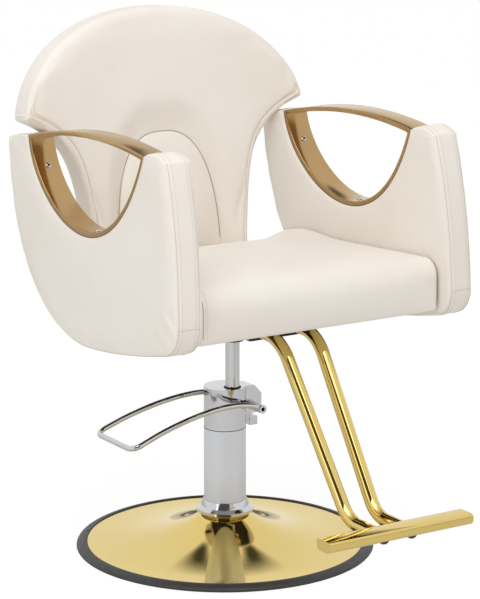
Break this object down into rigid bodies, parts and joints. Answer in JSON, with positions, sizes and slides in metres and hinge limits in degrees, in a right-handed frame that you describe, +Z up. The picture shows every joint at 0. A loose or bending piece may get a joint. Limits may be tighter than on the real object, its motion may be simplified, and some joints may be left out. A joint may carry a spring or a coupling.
{
  "type": "salon styling chair",
  "caption": "Salon styling chair with a padded seat, a winged back and scooped arms on a foot-pumped column that lifts and swivels over a round base, with a footrest.",
  "frame": {"origin": "the point on the floor under the swivel axis", "axes": "+Z up along the swivel axis, -Y the way the sitter faces, +X the sitter's left"},
  "size_m": [0.6516, 0.9048, 1.0277],
  "materials": {
    "cream_cover": "smooth cream faux leather over foam",
    "bronze_gold": "brushed, bronze-gold plated",
    "polished_gold": "polished, pale gold plated",
    "chrome": "polished chrome",
    "satin_grey": "satin pale grey",
    "black_rubber": "matt black",
    "black_steel": "satin black powder coat",
    "bare_steel": "bare machined steel",
    "bronze": "sintered bronze",
    "plywood": "bare plywood"
  },
  "bodies": {
    "base": {"base_plate": "bare_steel", "base_dome": "polished_gold", "base_trim_ring": "black_rubber", "pump_foot": "bare_steel", "pump_foot_bolt_1": "bare_steel", "pump_foot_bolt_2": "bare_steel", "pump_foot_bolt_3": "bare_steel", "pump_foot_bolt_4": "bare_steel", "pump_collar": "chrome", "pump_sleeve": "satin_grey", "pump_head": "chrome", "pump_cylinder": "bare_steel", "rod_bush": "bronze", "rod_wiper": "black_rubber", "plunger_spring": "bare_steel"},
    "lever": {"lever_loop": "chrome", "lever_shaft": "chrome", "lever_cam": "bare_steel"},
    "plunger": {"pump_plunger": "bare_steel"},
    "ram": {"piston": "bare_steel", "piston_seal": "black_rubber"},
    "seat": {"piston_rod": "chrome", "seat_hub": "black_steel", "seat_plate": "black_steel", "seat_plate_bolt_1": "bare_steel", "seat_plate_bolt_2": "bare_steel", "seat_plate_bolt_3": "bare_steel", "seat_plate_bolt_4": "bare_steel", "seat_board": "plywood", "seat_cushion": "cream_cover", "back_cushion": "cream_cover", "back_lumbar": "cream_cover", "back_panel": "cream_cover", "back_board": "plywood", "back_bracket_left": "black_steel", "back_bracket_right": "black_steel", "back_bracket_bolt_left": "bare_steel", "back_bracket_bolt_right": "bare_steel", "arm_pad_left": "cream_cover", "arm_pad_right": "cream_cover", "arm_loop_left": "bronze_gold", "arm_loop_right": "bronze_gold", "arm_screw_left_1": "chrome", "arm_screw_left_2": "chrome", "arm_screw_right_1": "chrome", "arm_screw_right_2": "chrome", "arm_bracket_left": "black_steel", "arm_bracket_right": "black_steel", "arm_bolt_left_1": "bare_steel", "arm_bolt_left_2": "bare_steel", "arm_bolt_right_1": "bare_steel", "arm_bolt_right_2": "bare_steel", "footrest_tube_left": "polished_gold", "footrest_tube_right": "polished_gold", "footrest_bar": "polished_gold", "footrest_plug_left": "black_rubber", "footrest_plug_right": "black_rubber", "footrest_clamp": "black_steel", "footrest_clamp_bolt": "black_steel"}
  },
  "joints": [
    {"name": "lift", "type": "slide", "parent": "base", "child": "ram", "axis": [0, 0, 1], "range_m": [-0.075, 0.075]},
    {"name": "swivel", "type": "hinge", "parent": "ram", "child": "seat", "pos_m": [0, 0, 0.405], "axis": [0, 0, 1], "continuous": true},
    {"name": "pump_lever", "type": "hinge", "parent": "base", "child": "lever", "pos_m": [0.04, 0.018, 0.278], "axis": [0, 1, 0], "range_deg": [-20, 0], "stiffness_Nm_per_rad": 4, "springref_deg": 20.05},
    {"name": "plunger_slide", "type": "slide", "parent": "base", "child": "plunger", "axis": [0, 0, 1], "range_m": [-0.0072, 0], "deforming": ["plunger_spring"]}
  ],
  "couplings": [
    {"joint": "plunger_slide", "follows": "pump_lever", "m_per_rad": 0.0201}
  ]
}
